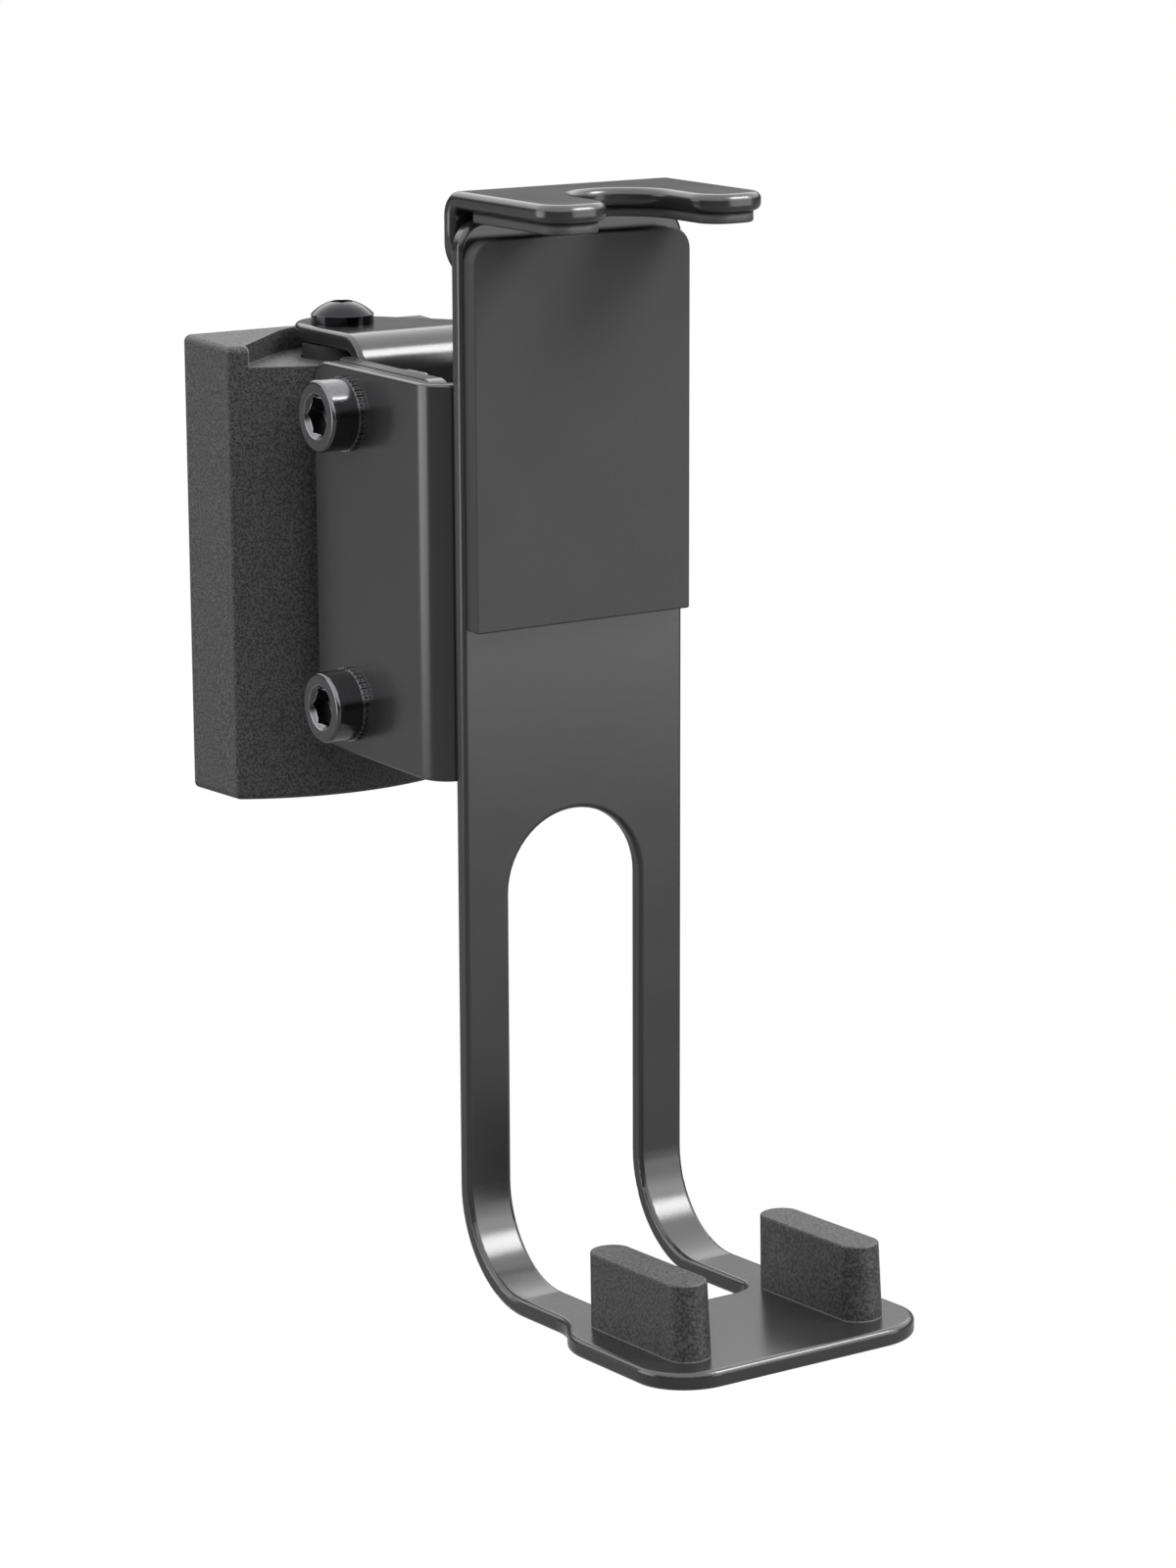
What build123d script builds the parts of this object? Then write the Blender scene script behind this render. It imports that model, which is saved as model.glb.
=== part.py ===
from build123d import *
import os
from math import asin, cos, radians, sin, tan

# Wall bracket for a compact loudspeaker. Millimetres, +Z up, front of the bracket towards -Y.
# The origin is on the wall, midway between the two wall screw holes and below the swivel pivot.
# The loudspeaker stands on the shelf over the two posts and is held back by the hook on top.

# Base on the wall
base_width = 40.0
base_height = 66.4
base_side_depth = 11.6
base_depth = 18.6
cover_wall = 1.8
cover_edge_round = 1.0
recess_depth = 3.3
cover_draft = 2.0
recess_half_width = 17.0
recess_right_half = 18.1
recess_angle = 48.5
recess_flare_angle = 57.0
recess_clearance = 0.3
plate_thickness = 2.5
plate_gap = 0.3
lug_root_width = 28.0
lug_end_radius = 5.9
lug_bend_radius = 3.5
wall_screw_spacing = 36.0
wall_screw_hole = 5.2

# Swivel pivot
pivot_setback = 10.5
pivot_thread = 5.0
pivot_head_diameter = 9.0
pivot_head_rim = 1.4
pivot_head_height = 3.4
pivot_socket = 3.0
pivot_socket_depth = 1.6
collar_diameter = 11.6
collar_clearance = 0.3
spring_washer_diameter = 10.0
spring_washer_thickness = 1.0
pivot_nut_width = 8.0
pivot_nut_height = 5.0
thread_past_nut = 1.2

# Yoke that swivels on the base
sheet = 2.5
ear_gap = 2.1
ear_radius = 9.6
ear_corner_round = 7.0
ear_flare = 38.0
ear_reach = 12.6
ear_bend_radius = 5.0
ear_edge_round = 0.7
relief_width = 0.6
yoke_corner_round = 3.5
yoke_front_round = 3.0
yoke_bottom_round = 6.0
yoke_front_gap = 1.4
yoke_bottom_gap = 1.3
tilt_range = 15.0
tilt_slot_extra = 1.0
tilt_upright = 90.0
tilt_slot_clearance = 0.35

# Holder channel that tilts on the yoke
channel_drop = 2.85
channel_height = 54.6
channel_clearance = 0.3
channel_past_yoke = 0.3
channel_bend_radius = 4.4
channel_corner_round = 3.5
sheet_edge_round = 0.4
bolt_from_web = 21.0
bolt_from_bottom = 7.1
bolt_spacing = 41.0

# Tilt bolts with their washers and nuts
bolt_thread = 6.0
bolt_head_diameter = 10.0
bolt_head_height = 4.2
bolt_socket = 5.0
bolt_socket_depth = 3.0
bolt_socket_mouth = 6.4
bolt_mouth_depth = 0.6
bolt_mouth_angle = 45.0
bolt_length = 14.0
bolt_rim_round = 0.5
lock_washer_diameter = 10.4
lock_washer_thickness = 0.7
lock_washer_teeth = 36
lock_washer_tooth = 0.3
flat_washer_diameter = 11.0
flat_washer_thickness = 1.2
bolt_nut_width = 10.0
bolt_nut_height = 5.0
nut_chamfer = 0.6

# Support arm with its shelf
speaker_height = 146.35
arm_offset = 8.8
arm_standoff = 58.0
arm_width = 35.7
arm_thickness = 2.5
arm_above_channel = 22.05
arm_corner_round = 4.0
arm_edge_round = 0.7
arm_bend_radius = 12.5
shelf_rise = 3.5
shelf_length = 56.0
shelf_width = 43.0
shelf_step_start = 22.5
shelf_step_end = 33.8
shelf_corner_round = 8.0
slot_width = 21.5
slot_below_channel = 5.55
slot_end = 28.8
slot_corner_round = 4.0
rivet_shank = 4.0
rivet_head = 6.6
rivet_dome = 1.6
rivet_dome_round = 1.4
rivet_spacing_x = 19.0
rivet_spacing_z = 21.0
rivet_from_top = 6.0

# Hook over the top of the loudspeaker
hook_gap = 1.25
hook_sheet = 2.5
hook_width = 34.6
hook_reach = 22.0
hook_bend_radius = 3.5
hook_notch_width = 14.0
hook_notch_depth = 16.6
hook_mouth_round = 4.4
hook_tip_round = 4.0
hook_edge_round = 1.0
leg_clearance = 0.5
leg_width = 24.0
leg_taper_start = 2.7
leg_taper_height = 8.5
leg_corner_round = 3.0
leg_margin = 2.4
hook_travel = 8.0
stud_thread = 5.0
stud_head = 8.0
stud_head_height = 1.5
stud_below_arm_top = 7.6
leg_slot_width = 5.6
stud_washer_diameter = 12.0
stud_washer_thickness = 1.0
stud_nut_width = 8.0
stud_nut_height = 4.0

# Pads and posts
hook_pad_thickness = 1.5
hook_pad_inset = 1.0
hook_pad_back_gap = 0.8
back_pad_thickness = 2.7
back_pad_inset = 0.6
back_pad_height = 52.8
back_pad_top_gap = 2.5
back_pad_round = 3.0
pad_edge_round = 0.3
post_spacing = 27.8
post_from_front = 4.4
post_length = 23.9
post_width = 6.1
post_height = 10.4
post_draft = 1.2
post_edge_round = 0.3
post_screw_spacing = 11.0
post_screw_thread = 3.0
post_screw_head = 5.4
post_screw_depth = 8.0
post_screw_socket = 2.0

# Clearances: a turning fit per side, and the gap between faces that rub
running = 0.05
face_gap = 0.05

# Heights that follow
cover_top = base_height / 2
recess_floor = cover_top - recess_depth
cavity_top = recess_floor - cover_wall
lug_top = cavity_top - plate_gap
lug_bottom = lug_top - plate_thickness
ear_bottom = recess_floor + ear_gap
ear_top = ear_bottom + sheet
channel_top = ear_top - channel_drop
channel_bottom = channel_top - channel_height
yoke_bottom = channel_bottom + yoke_bottom_gap
bolt_low = channel_bottom + bolt_from_bottom
bolt_high = bolt_low + bolt_spacing
arm_top = channel_top + arm_above_channel
hook_under = arm_top + hook_gap
hook_top = hook_under + hook_sheet
hook_pad_bottom = hook_under - hook_pad_thickness
shelf_z = hook_pad_bottom - speaker_height
slot_top = channel_bottom - slot_below_channel
rivet_z = channel_top - rivet_from_top - rivet_spacing_z / 2
stud_z = arm_top - stud_below_arm_top
leg_bottom = stud_z - hook_travel - leg_slot_width / 2 - leg_margin
back_pad_top = arm_top - back_pad_top_gap

# Depths that follow
arm_front = -arm_standoff
arm_back = arm_front + arm_thickness
channel_inside = arm_back + sheet
yoke_back = -(pivot_setback + ear_reach)
yoke_web_front = yoke_back - sheet
yoke_front = channel_inside + yoke_front_gap
channel_rear = yoke_back + channel_past_yoke
bolt_y = channel_inside + bolt_from_web
bend_y = arm_front - arm_bend_radius
shelf_front = arm_front - shelf_length
hook_front = arm_front - hook_reach
leg_back = arm_back + leg_clearance + hook_sheet
stud_washer_y = leg_back + face_gap
stud_nut_y = stud_washer_y + stud_washer_thickness
stud_tip_y = stud_nut_y + stud_nut_height + thread_past_nut

# Widths that follow, measured from the middle of the arm
yoke_half = arm_width / 2
yoke_inner = yoke_half - sheet
channel_half = yoke_half + channel_clearance + sheet
bolt_seat = channel_half + lock_washer_thickness

# Planes and axes that several pieces share
pivot_plane = Plane.XZ.offset(pivot_setback)
pivot_axis = Axis((0, -pivot_setback, 0), (0, 0, 1))
arm_plane = Plane.YZ.offset(arm_offset)
arm_face = Plane.XZ.offset(arm_standoff)
rise_sin = sin(radians(shelf_rise))
rise_cos = cos(radians(shelf_rise))
rise_tan = tan(radians(shelf_rise))
corner_z = shelf_z - arm_bend_radius * rise_tan
shelf_end_z = corner_z + (shelf_length + arm_thickness) * rise_tan
shelf_plane = Plane(
    origin=(arm_offset, arm_front, corner_z), x_dir=(1, 0, 0), z_dir=(0, rise_sin, rise_cos)
)
shelf_under = Plane(
    origin=(arm_offset, arm_front + arm_thickness * -rise_sin, corner_z - arm_thickness * rise_cos),
    x_dir=(1, 0, 0),
    z_dir=(0, -rise_sin, -rise_cos),
)
post_middle = (shelf_length - post_from_front - post_length / 2) / rise_cos

os.makedirs("parts", exist_ok=True)


# Base cover: a moulded D-shaped shell, flat to the wall, with a recess in its top for the ear
inner_half = base_width / 2 - cover_wall
recess_radius = ear_radius + recess_clearance
recess_cos = cos(radians(recess_angle))
recess_tangent_y = -pivot_setback + recess_radius * sin(radians(recess_angle))
recess_side = (recess_half_width - recess_radius * recess_cos) / tan(radians(recess_angle))
flare_side_cos = cos(radians(recess_flare_angle))
flare_side_y = -pivot_setback + recess_radius * sin(radians(recess_flare_angle))
flare_side = (recess_right_half - recess_radius * flare_side_cos) / tan(radians(recess_flare_angle))

with BuildPart() as base_cover:
    with BuildSketch(Plane.XY.offset(-cover_top)):
        with BuildLine():
            Polyline(
                (-base_width / 2, -base_side_depth),
                (-base_width / 2, 0),
                (base_width / 2, 0),
                (base_width / 2, -base_side_depth),
            )
            ThreePointArc(
                (base_width / 2, -base_side_depth),
                (0, -base_depth),
                (-base_width / 2, -base_side_depth),
            )
        make_face()
    extrude(amount=base_height)
    with BuildSketch(Plane.XZ):
        Rectangle(base_width, base_height)
    extrude(amount=base_depth, taper=cover_draft, mode=Mode.INTERSECT)
    fillet(
        base_cover.edges().filter_by(lambda edge: edge.center().Y < -cover_edge_round),
        radius=cover_edge_round,
    )
    with BuildSketch(Plane.XY.offset(-cover_top + cover_wall)):
        with BuildLine():
            Polyline(
                (-inner_half, -base_side_depth),
                (-inner_half, 0),
                (inner_half, 0),
                (inner_half, -base_side_depth),
            )
            ThreePointArc(
                (inner_half, -base_side_depth),
                (0, -base_depth + cover_wall),
                (-inner_half, -base_side_depth),
            )
        make_face()
    extrude(amount=cavity_top + cover_top - cover_wall, mode=Mode.SUBTRACT)
    with BuildSketch(Plane.XY.offset(recess_floor)):
        with BuildLine():
            Polyline(
                (-recess_radius * recess_cos, recess_tangent_y),
                (-recess_half_width, recess_tangent_y - recess_side),
                (-recess_half_width, -base_depth - cover_wall),
                (recess_right_half, -base_depth - cover_wall),
                (recess_right_half, flare_side_y - flare_side),
                (recess_radius * flare_side_cos, flare_side_y),
                close=True,
            )
        make_face()
        with Locations((0, -pivot_setback)):
            Circle(recess_radius)
    extrude(amount=recess_depth, mode=Mode.SUBTRACT)
    with BuildSketch(Plane.XY.offset(cavity_top)):
        with Locations((0, -pivot_setback)):
            Circle(collar_diameter / 2 + collar_clearance)
    extrude(amount=cover_wall, mode=Mode.SUBTRACT)
base_cover.part.label = "base_cover"
export_step(base_cover.part, "parts/base_cover.step")


# Wall plate: one folded steel sheet, screwed to the wall, with a lug at the top for the pivot
plate_half = inner_half - plate_gap
plate_bottom = -cover_top + cover_wall + plate_gap

with BuildPart() as wall_plate:
    with BuildSketch(Plane.YZ):
        with BuildLine():
            FilletPolyline(
                (0, plate_bottom),
                (0, lug_top),
                (-pivot_setback - lug_end_radius, lug_top),
                radius=lug_bend_radius,
            )
            offset(amount=plate_thickness, side=Side.LEFT)
        make_face()
    extrude(amount=plate_half, both=True)
    with BuildSketch(Plane.XY.offset(plate_bottom)):
        with Locations((0, -plate_thickness / 2)):
            Rectangle(2 * plate_half, plate_thickness)
        with BuildLine():
            Polyline(
                (-lug_root_width / 2, 0),
                (-lug_root_width / 2, -plate_thickness),
                (-lug_end_radius, -pivot_setback),
                (lug_end_radius, -pivot_setback),
                (lug_root_width / 2, -plate_thickness),
                (lug_root_width / 2, 0),
                close=True,
            )
        make_face()
        with Locations((0, -pivot_setback)):
            Circle(lug_end_radius)
    extrude(amount=lug_top - plate_bottom, mode=Mode.INTERSECT)
    with BuildSketch(Plane.XY.offset(lug_bottom)):
        with Locations((0, -pivot_setback)):
            Circle(pivot_thread / 2 + running)
    extrude(amount=plate_thickness, mode=Mode.SUBTRACT)
    with BuildSketch(Plane.XZ):
        with GridLocations(0, wall_screw_spacing, 1, 2):
            Circle(wall_screw_hole / 2)
    extrude(amount=plate_thickness, mode=Mode.SUBTRACT)
wall_plate.part.label = "wall_plate"
export_step(wall_plate.part, "parts/wall_plate.step")


# Collar: a plain nylon ring on the lug, which the ear turns on
with BuildPart() as pivot_collar:
    with BuildSketch(Plane.XY.offset(lug_top)):
        with Locations((0, -pivot_setback)):
            Circle(collar_diameter / 2)
            Circle(pivot_thread / 2 + running, mode=Mode.SUBTRACT)
    extrude(amount=ear_bottom - lug_top - face_gap)
pivot_collar.part.label = "pivot_collar"
export_step(pivot_collar.part, "parts/pivot_collar.step")


# Pivot screw: a domed socket screw down through the ear, the collar and the lug
spring_washer_top = lug_bottom - face_gap
pivot_nut_top = spring_washer_top - spring_washer_thickness
pivot_tip = pivot_nut_top - pivot_nut_height - thread_past_nut
head_radius = pivot_head_diameter / 2
dome_rise = pivot_head_height - pivot_head_rim
dome_radius = (head_radius**2 + dome_rise**2) / (2 * dome_rise)
dome_half_angle = asin(head_radius / dome_radius) / 2
dome_centre = ear_top + pivot_head_height - dome_radius

with BuildPart() as pivot_screw:
    with BuildSketch(pivot_plane):
        with BuildLine():
            Polyline(
                (0, ear_top + pivot_head_height),
                (0, pivot_tip),
                (pivot_thread / 2, pivot_tip),
                (pivot_thread / 2, ear_top),
                (head_radius, ear_top),
                (head_radius, ear_top + pivot_head_rim),
            )
            ThreePointArc(
                (head_radius, ear_top + pivot_head_rim),
                (
                    dome_radius * sin(dome_half_angle),
                    dome_centre + dome_radius * cos(dome_half_angle),
                ),
                (0, ear_top + pivot_head_height),
            )
        make_face()
    revolve(axis=pivot_axis)
    with BuildSketch(Plane.XY.offset(ear_top + pivot_head_height - pivot_socket_depth)):
        with Locations((0, -pivot_setback)):
            RegularPolygon(pivot_socket / 2, 6, major_radius=False)
    extrude(amount=pivot_socket_depth, mode=Mode.SUBTRACT)
pivot_screw.part.label = "pivot_screw"
export_step(pivot_screw.part, "parts/pivot_screw.step")


# Spring washer under the lug, which gives the swivel its steady friction
with BuildPart() as spring_washer:
    with BuildSketch(Plane.XY.offset(spring_washer_top)):
        with Locations((0, -pivot_setback)):
            Circle(spring_washer_diameter / 2)
            Circle(pivot_thread / 2 + running, mode=Mode.SUBTRACT)
    extrude(amount=-spring_washer_thickness)
spring_washer.part.label = "spring_washer"
export_step(spring_washer.part, "parts/spring_washer.step")


# Pivot nut: a hexagon lock nut under the spring washer
with BuildPart() as pivot_nut:
    with BuildSketch(Plane.XY.offset(pivot_nut_top)):
        with Locations((0, -pivot_setback)):
            RegularPolygon(pivot_nut_width / 2, 6, major_radius=False)
            Circle(pivot_thread / 2 + running, mode=Mode.SUBTRACT)
    extrude(amount=-pivot_nut_height)
    chamfer(pivot_nut.edges().filter_by(Axis.Z), length=nut_chamfer)
pivot_nut.part.label = "pivot_nut"
export_step(pivot_nut.part, "parts/pivot_nut.step")


# Yoke: one folded sheet with two side flanges, a web and an ear folded back over the base
ear_end_y = yoke_web_front + ear_bend_radius
ear_left = arm_offset - yoke_half + yoke_corner_round
flare_cos = cos(radians(ear_flare))
ear_tangent_y = -pivot_setback + ear_radius * sin(radians(ear_flare))
ear_right = ear_radius * flare_cos + (ear_tangent_y - ear_end_y) * tan(radians(ear_flare))
bend_bottom = ear_top - ear_bend_radius
web_cut_left = ear_left - relief_width
web_cut_right = arm_offset + yoke_half - yoke_corner_round
slot_sweep = tilt_range + 2 * tilt_slot_extra
slot_arc = CenterArc((bolt_y, bolt_low), bolt_spacing, tilt_upright - tilt_slot_extra, slot_sweep)

with BuildSketch(Plane.XY.offset(bend_bottom - sheet)) as ear_plan:
    with BuildLine():
        Polyline(
            (ear_left, yoke_web_front),
            (ear_left, -pivot_setback),
            (ear_radius, -pivot_setback),
            (ear_radius * flare_cos, ear_tangent_y),
            (ear_right, ear_end_y),
            (ear_right, yoke_web_front),
            close=True,
        )
    make_face()
    with Locations((0, -pivot_setback)):
        Circle(ear_radius)
    with Locations((ear_left, -pivot_setback)):
        Rectangle(
            2 * ear_radius, 4 * ear_radius, align=(Align.MAX, Align.CENTER), mode=Mode.SUBTRACT
        )
    fillet(ear_plan.vertices().group_by(Axis.Y)[-1], radius=ear_corner_round)

with BuildSketch(Plane.XY.offset(yoke_bottom)) as yoke_plan:
    with BuildLine():
        FilletPolyline(
            (arm_offset - yoke_half, yoke_front),
            (arm_offset - yoke_half, yoke_back),
            (arm_offset + yoke_half, yoke_back),
            (arm_offset + yoke_half, yoke_front),
            radius=yoke_corner_round,
        )
        offset(amount=sheet, side=Side.RIGHT)
    make_face()

with BuildPart() as yoke:
    with BuildSketch(Plane.YZ.offset(ear_left)):
        with BuildLine():
            FilletPolyline(
                (yoke_web_front, bend_bottom - sheet),
                (yoke_web_front, ear_top),
                (-pivot_setback + ear_radius, ear_top),
                radius=ear_bend_radius,
            )
            offset(amount=sheet, side=Side.RIGHT)
        make_face()
    extrude(amount=ear_right - ear_left)
    extrude(ear_plan.sketch, amount=ear_top - bend_bottom + sheet, mode=Mode.INTERSECT)
    fillet(yoke.faces().filter_by(Axis.Z).sort_by(SortBy.AREA)[-2:].edges(), radius=ear_edge_round)
    extrude(yoke_plan.sketch, amount=bend_bottom - yoke_bottom)
    with BuildSketch(Plane.XY.offset(bend_bottom)):
        add(yoke_plan.sketch_local)
        with Locations(((web_cut_left + web_cut_right) / 2, (yoke_web_front + yoke_back) / 2)):
            Rectangle(web_cut_right - web_cut_left, sheet, mode=Mode.SUBTRACT)
    extrude(amount=channel_top - bend_bottom)
    front_ends = yoke.edges().filter_by(Axis.X).group_by(Axis.Y)[0]
    fillet(front_ends.group_by(Axis.Z)[-1], radius=yoke_front_round)
    front_ends = yoke.edges().filter_by(Axis.X).group_by(Axis.Y)[0]
    fillet(front_ends.group_by(Axis.Z)[0], radius=yoke_bottom_round)
    with BuildSketch(arm_plane):
        with Locations((bolt_y, bolt_low)):
            Circle(bolt_thread / 2 + running)
        SlotArc(slot_arc, bolt_thread + 2 * tilt_slot_clearance)
    extrude(amount=yoke_half, both=True, mode=Mode.SUBTRACT)
    with BuildSketch(Plane.XY.offset(ear_bottom)):
        with Locations((0, -pivot_setback)):
            Circle(pivot_thread / 2 + running)
    extrude(amount=sheet, mode=Mode.SUBTRACT)
yoke.part.label = "yoke"
export_step(yoke.part, "parts/yoke.step")


# Holder channel: one folded sheet round the yoke, riveted to the back of the arm
with BuildPart() as channel:
    with BuildSketch(Plane.XY.offset(channel_bottom)):
        with BuildLine():
            FilletPolyline(
                (arm_offset - channel_half, channel_rear),
                (arm_offset - channel_half, arm_back),
                (arm_offset + channel_half, arm_back),
                (arm_offset + channel_half, channel_rear),
                radius=channel_bend_radius,
            )
            offset(amount=sheet, side=Side.LEFT)
        make_face()
    extrude(amount=channel_height)
    fillet(
        channel.edges().filter_by(Axis.X).group_by(Axis.Y)[-1],
        radius=channel_corner_round,
    )
    fillet(channel.faces().sort_by(SortBy.AREA)[-10:].edges(), radius=sheet_edge_round)
    with BuildSketch(arm_plane):
        with Locations((bolt_y, bolt_low), (bolt_y, bolt_high)):
            Circle(bolt_thread / 2 + running)
    extrude(amount=channel_half, both=True, mode=Mode.SUBTRACT)
    with BuildSketch(Plane.XZ.offset(-channel_inside)):
        with Locations((arm_offset, rivet_z)):
            with GridLocations(rivet_spacing_x, rivet_spacing_z, 2, 2):
                Circle(rivet_shank / 2 + running)
    extrude(amount=sheet, mode=Mode.SUBTRACT)
channel.part.label = "channel"
export_step(channel.part, "parts/channel.step")


# Tilt bolts: four socket head screws, two a side; the lower pair is the tilt pivot
with BuildPart() as tilt_bolts:
    with BuildSketch(Plane.YZ.offset(arm_offset + bolt_seat)):
        with Locations((bolt_y, bolt_low), (bolt_y, bolt_high)):
            Circle(bolt_head_diameter / 2)
    extrude(amount=bolt_head_height)
    fillet(
        tilt_bolts.edges().filter_by(GeomType.CIRCLE).group_by(Axis.X)[-1], radius=bolt_rim_round
    )
    with BuildSketch(Plane.YZ.offset(arm_offset + bolt_seat)):
        with Locations((bolt_y, bolt_low), (bolt_y, bolt_high)):
            Circle(bolt_thread / 2)
    extrude(amount=-bolt_length)
    with BuildSketch(Plane.YZ.offset(arm_offset + bolt_seat + bolt_head_height)):
        with Locations((bolt_y, bolt_low), (bolt_y, bolt_high)):
            RegularPolygon(bolt_socket / 2, 6, major_radius=False)
    extrude(amount=-bolt_socket_depth, mode=Mode.SUBTRACT)
    with BuildSketch(Plane.YZ.offset(arm_offset + bolt_seat + bolt_head_height)):
        with Locations((bolt_y, bolt_low), (bolt_y, bolt_high)):
            Circle(bolt_socket_mouth / 2)
    extrude(amount=-bolt_mouth_depth, taper=bolt_mouth_angle, mode=Mode.SUBTRACT)
    mirror(about=arm_plane)
tilt_bolts.part.label = "tilt_bolts"
export_step(tilt_bolts.part, "parts/tilt_bolts.step")


# Toothed lock washers between the bolt heads and the channel
tooth_root = lock_washer_diameter / 2 - lock_washer_tooth

with BuildPart() as lock_washers:
    with BuildSketch(Plane.YZ.offset(arm_offset + channel_half)):
        with Locations((bolt_y, bolt_low), (bolt_y, bolt_high)):
            Circle(tooth_root)
            with PolarLocations(tooth_root, lock_washer_teeth):
                Rectangle(2 * lock_washer_tooth, 2 * lock_washer_tooth)
            Circle(bolt_thread / 2 + running, mode=Mode.SUBTRACT)
    extrude(amount=lock_washer_thickness)
    mirror(about=arm_plane)
lock_washers.part.label = "lock_washers"
export_step(lock_washers.part, "parts/lock_washers.step")


# Flat washers inside the yoke flanges
flat_washer_outer = yoke_inner - face_gap

with BuildPart() as flat_washers:
    with BuildSketch(Plane.YZ.offset(arm_offset + flat_washer_outer)):
        with Locations((bolt_y, bolt_low), (bolt_y, bolt_high)):
            Circle(flat_washer_diameter / 2)
            Circle(bolt_thread / 2 + running, mode=Mode.SUBTRACT)
    extrude(amount=-flat_washer_thickness)
    mirror(about=arm_plane)
flat_washers.part.label = "flat_washers"
export_step(flat_washers.part, "parts/flat_washers.step")


# Hexagon nuts on the tilt bolts
with BuildPart() as tilt_nuts:
    with BuildSketch(Plane.YZ.offset(arm_offset + flat_washer_outer - flat_washer_thickness)):
        with Locations((bolt_y, bolt_low), (bolt_y, bolt_high)):
            RegularPolygon(bolt_nut_width / 2, 6, major_radius=False)
            Circle(bolt_thread / 2 + running, mode=Mode.SUBTRACT)
    extrude(amount=-bolt_nut_height)
    chamfer(tilt_nuts.edges().filter_by(Axis.X), length=nut_chamfer)
    mirror(about=arm_plane)
tilt_nuts.part.label = "tilt_nuts"
export_step(tilt_nuts.part, "parts/tilt_nuts.step")


# Support arm: one flat strip, bent forward at the bottom into the shelf, with a slot down it
step_middle = (shelf_step_start + shelf_step_end) / 2
step_width = (arm_width + shelf_width) / 4

with BuildPart() as support_arm:
    with BuildSketch(arm_plane):
        with BuildLine():
            FilletPolyline(
                (arm_front, arm_top),
                (arm_front, corner_z),
                (shelf_front - arm_thickness, shelf_end_z),
                radius=arm_bend_radius,
            )
            offset(amount=arm_thickness, side=Side.LEFT)
        make_face()
    extrude(amount=shelf_width / 2, both=True)
    with BuildSketch(Plane.XY.offset(corner_z - arm_thickness)) as arm_plan:
        with BuildLine():
            Polyline(
                (arm_offset, arm_back),
                (arm_offset + arm_width / 2, arm_back),
                (arm_offset + arm_width / 2, arm_front - shelf_step_start),
            )
            TangentArc(
                (arm_offset + arm_width / 2, arm_front - shelf_step_start),
                (arm_offset + step_width, arm_front - step_middle),
                tangent=(0, -1),
            )
            TangentArc(
                (arm_offset + shelf_width / 2, arm_front - shelf_step_end),
                (arm_offset + step_width, arm_front - step_middle),
                tangent=(0, 1),
            )
            Polyline(
                (arm_offset + shelf_width / 2, arm_front - shelf_step_end),
                (arm_offset + shelf_width / 2, shelf_front),
                (arm_offset, shelf_front),
                (arm_offset, arm_back),
            )
        make_face()
        mirror(about=arm_plane)
        fillet(arm_plan.vertices().group_by(Axis.Y)[0], radius=shelf_corner_round)
    extrude(amount=arm_top - corner_z + arm_thickness, mode=Mode.INTERSECT)
    fillet(
        support_arm.edges().filter_by(Axis.Y).group_by(Axis.Z)[-1],
        radius=arm_corner_round,
    )
    with BuildSketch(Plane.XY.offset(corner_z - arm_thickness)) as shelf_slot:
        with Locations((arm_offset, arm_back - (slot_end + arm_thickness) / 2)):
            Rectangle(slot_width, slot_end + arm_thickness)
        fillet(shelf_slot.vertices().group_by(Axis.Y)[0], radius=slot_corner_round)
    extrude(amount=2 * arm_bend_radius, mode=Mode.SUBTRACT)
    with BuildSketch(arm_face):
        with Locations((arm_offset, slot_top - slot_width / 2)):
            Circle(slot_width / 2)
        with Locations((arm_offset, (slot_top - slot_width / 2 + corner_z) / 2)):
            Rectangle(slot_width, slot_top - slot_width / 2 - corner_z)
    extrude(amount=-arm_thickness, mode=Mode.SUBTRACT)
    fillet(support_arm.faces().sort_by(SortBy.AREA)[-4:].edges(), radius=arm_edge_round)
    with Locations(arm_face):
        with Locations((arm_offset, stud_z)):
            CounterBoreHole(
                radius=stud_thread / 2 + running,
                counter_bore_radius=stud_head / 2 + running,
                counter_bore_depth=stud_head_height,
            )
        with Locations((arm_offset, rivet_z)):
            with GridLocations(rivet_spacing_x, rivet_spacing_z, 2, 2):
                CounterSinkHole(
                    radius=rivet_shank / 2 + running,
                    counter_sink_radius=rivet_head / 2 + running,
                    counter_sink_angle=90,
                )
    with Locations(shelf_under):
        with Locations((0, post_middle)):
            with GridLocations(post_spacing, post_screw_spacing, 2, 2):
                CounterSinkHole(
                    radius=post_screw_thread / 2 + running,
                    counter_sink_radius=post_screw_head / 2 + running,
                    counter_sink_angle=90,
                )
support_arm.part.label = "support_arm"
export_step(support_arm.part, "parts/support_arm.step")


# Rivets: flush with the front of the arm, domed behind the channel web
rivet_cone = (rivet_head - rivet_shank) / 2

with BuildPart() as arm_rivets:
    with Locations(arm_face):
        with Locations((arm_offset, rivet_z)):
            with GridLocations(rivet_spacing_x, rivet_spacing_z, 2, 2):
                Cone(
                    bottom_radius=rivet_shank / 2,
                    top_radius=rivet_head / 2,
                    height=rivet_cone,
                    align=(Align.CENTER, Align.CENTER, Align.MAX),
                )
                Cylinder(
                    radius=rivet_shank / 2,
                    height=arm_thickness + sheet,
                    align=(Align.CENTER, Align.CENTER, Align.MAX),
                )
    with BuildSketch(Plane.XZ.offset(-channel_inside)):
        with Locations((arm_offset, rivet_z)):
            with GridLocations(rivet_spacing_x, rivet_spacing_z, 2, 2):
                Circle(rivet_head / 2)
    extrude(amount=-rivet_dome)
    fillet(
        arm_rivets.edges().filter_by(GeomType.CIRCLE).group_by(Axis.Y)[-1],
        radius=rivet_dome_round,
    )
arm_rivets.part.label = "arm_rivets"
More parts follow.
